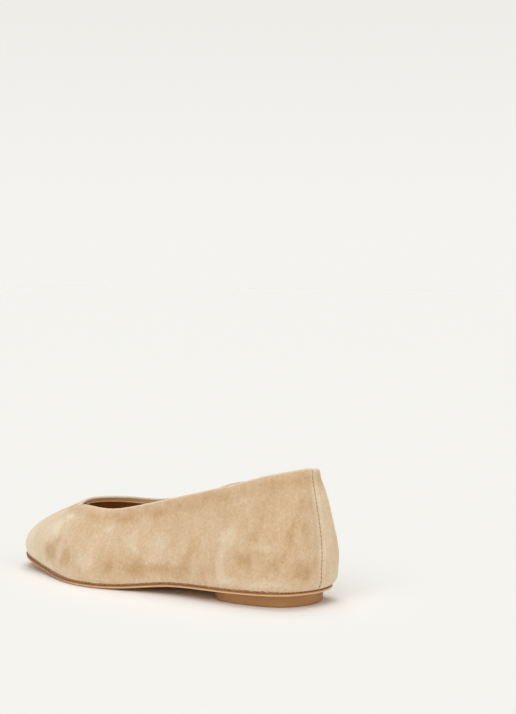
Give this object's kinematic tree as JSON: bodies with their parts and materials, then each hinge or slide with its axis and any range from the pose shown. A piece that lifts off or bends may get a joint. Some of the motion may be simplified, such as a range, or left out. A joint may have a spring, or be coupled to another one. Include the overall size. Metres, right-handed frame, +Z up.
{
  "type": "ballet flat",
  "caption": "Low slip-on suede shoe for the left foot, with an almond toe, a low cut throat, a thin leather sole and a flat pad heel",
  "frame": {"origin": "under the middle of the shoe's box, on the floor it stands on", "axes": "+Z up, toe along -Y, heel along +Y, outer side of the left foot along +X"},
  "size_m": [0.0862, 0.242, 0.079],
  "materials": {
    "suede": "napped suede, matte",
    "sock_leather": "smooth, satin",
    "sole_leather": "smooth cut edge, satin",
    "pad_rubber": "matte"
  },
  "bodies": {
    "root": {"upper": "suede", "insole": "sock_leather", "outsole": "sole_leather", "heel": "pad_rubber"}
  },
  "joints": []
}
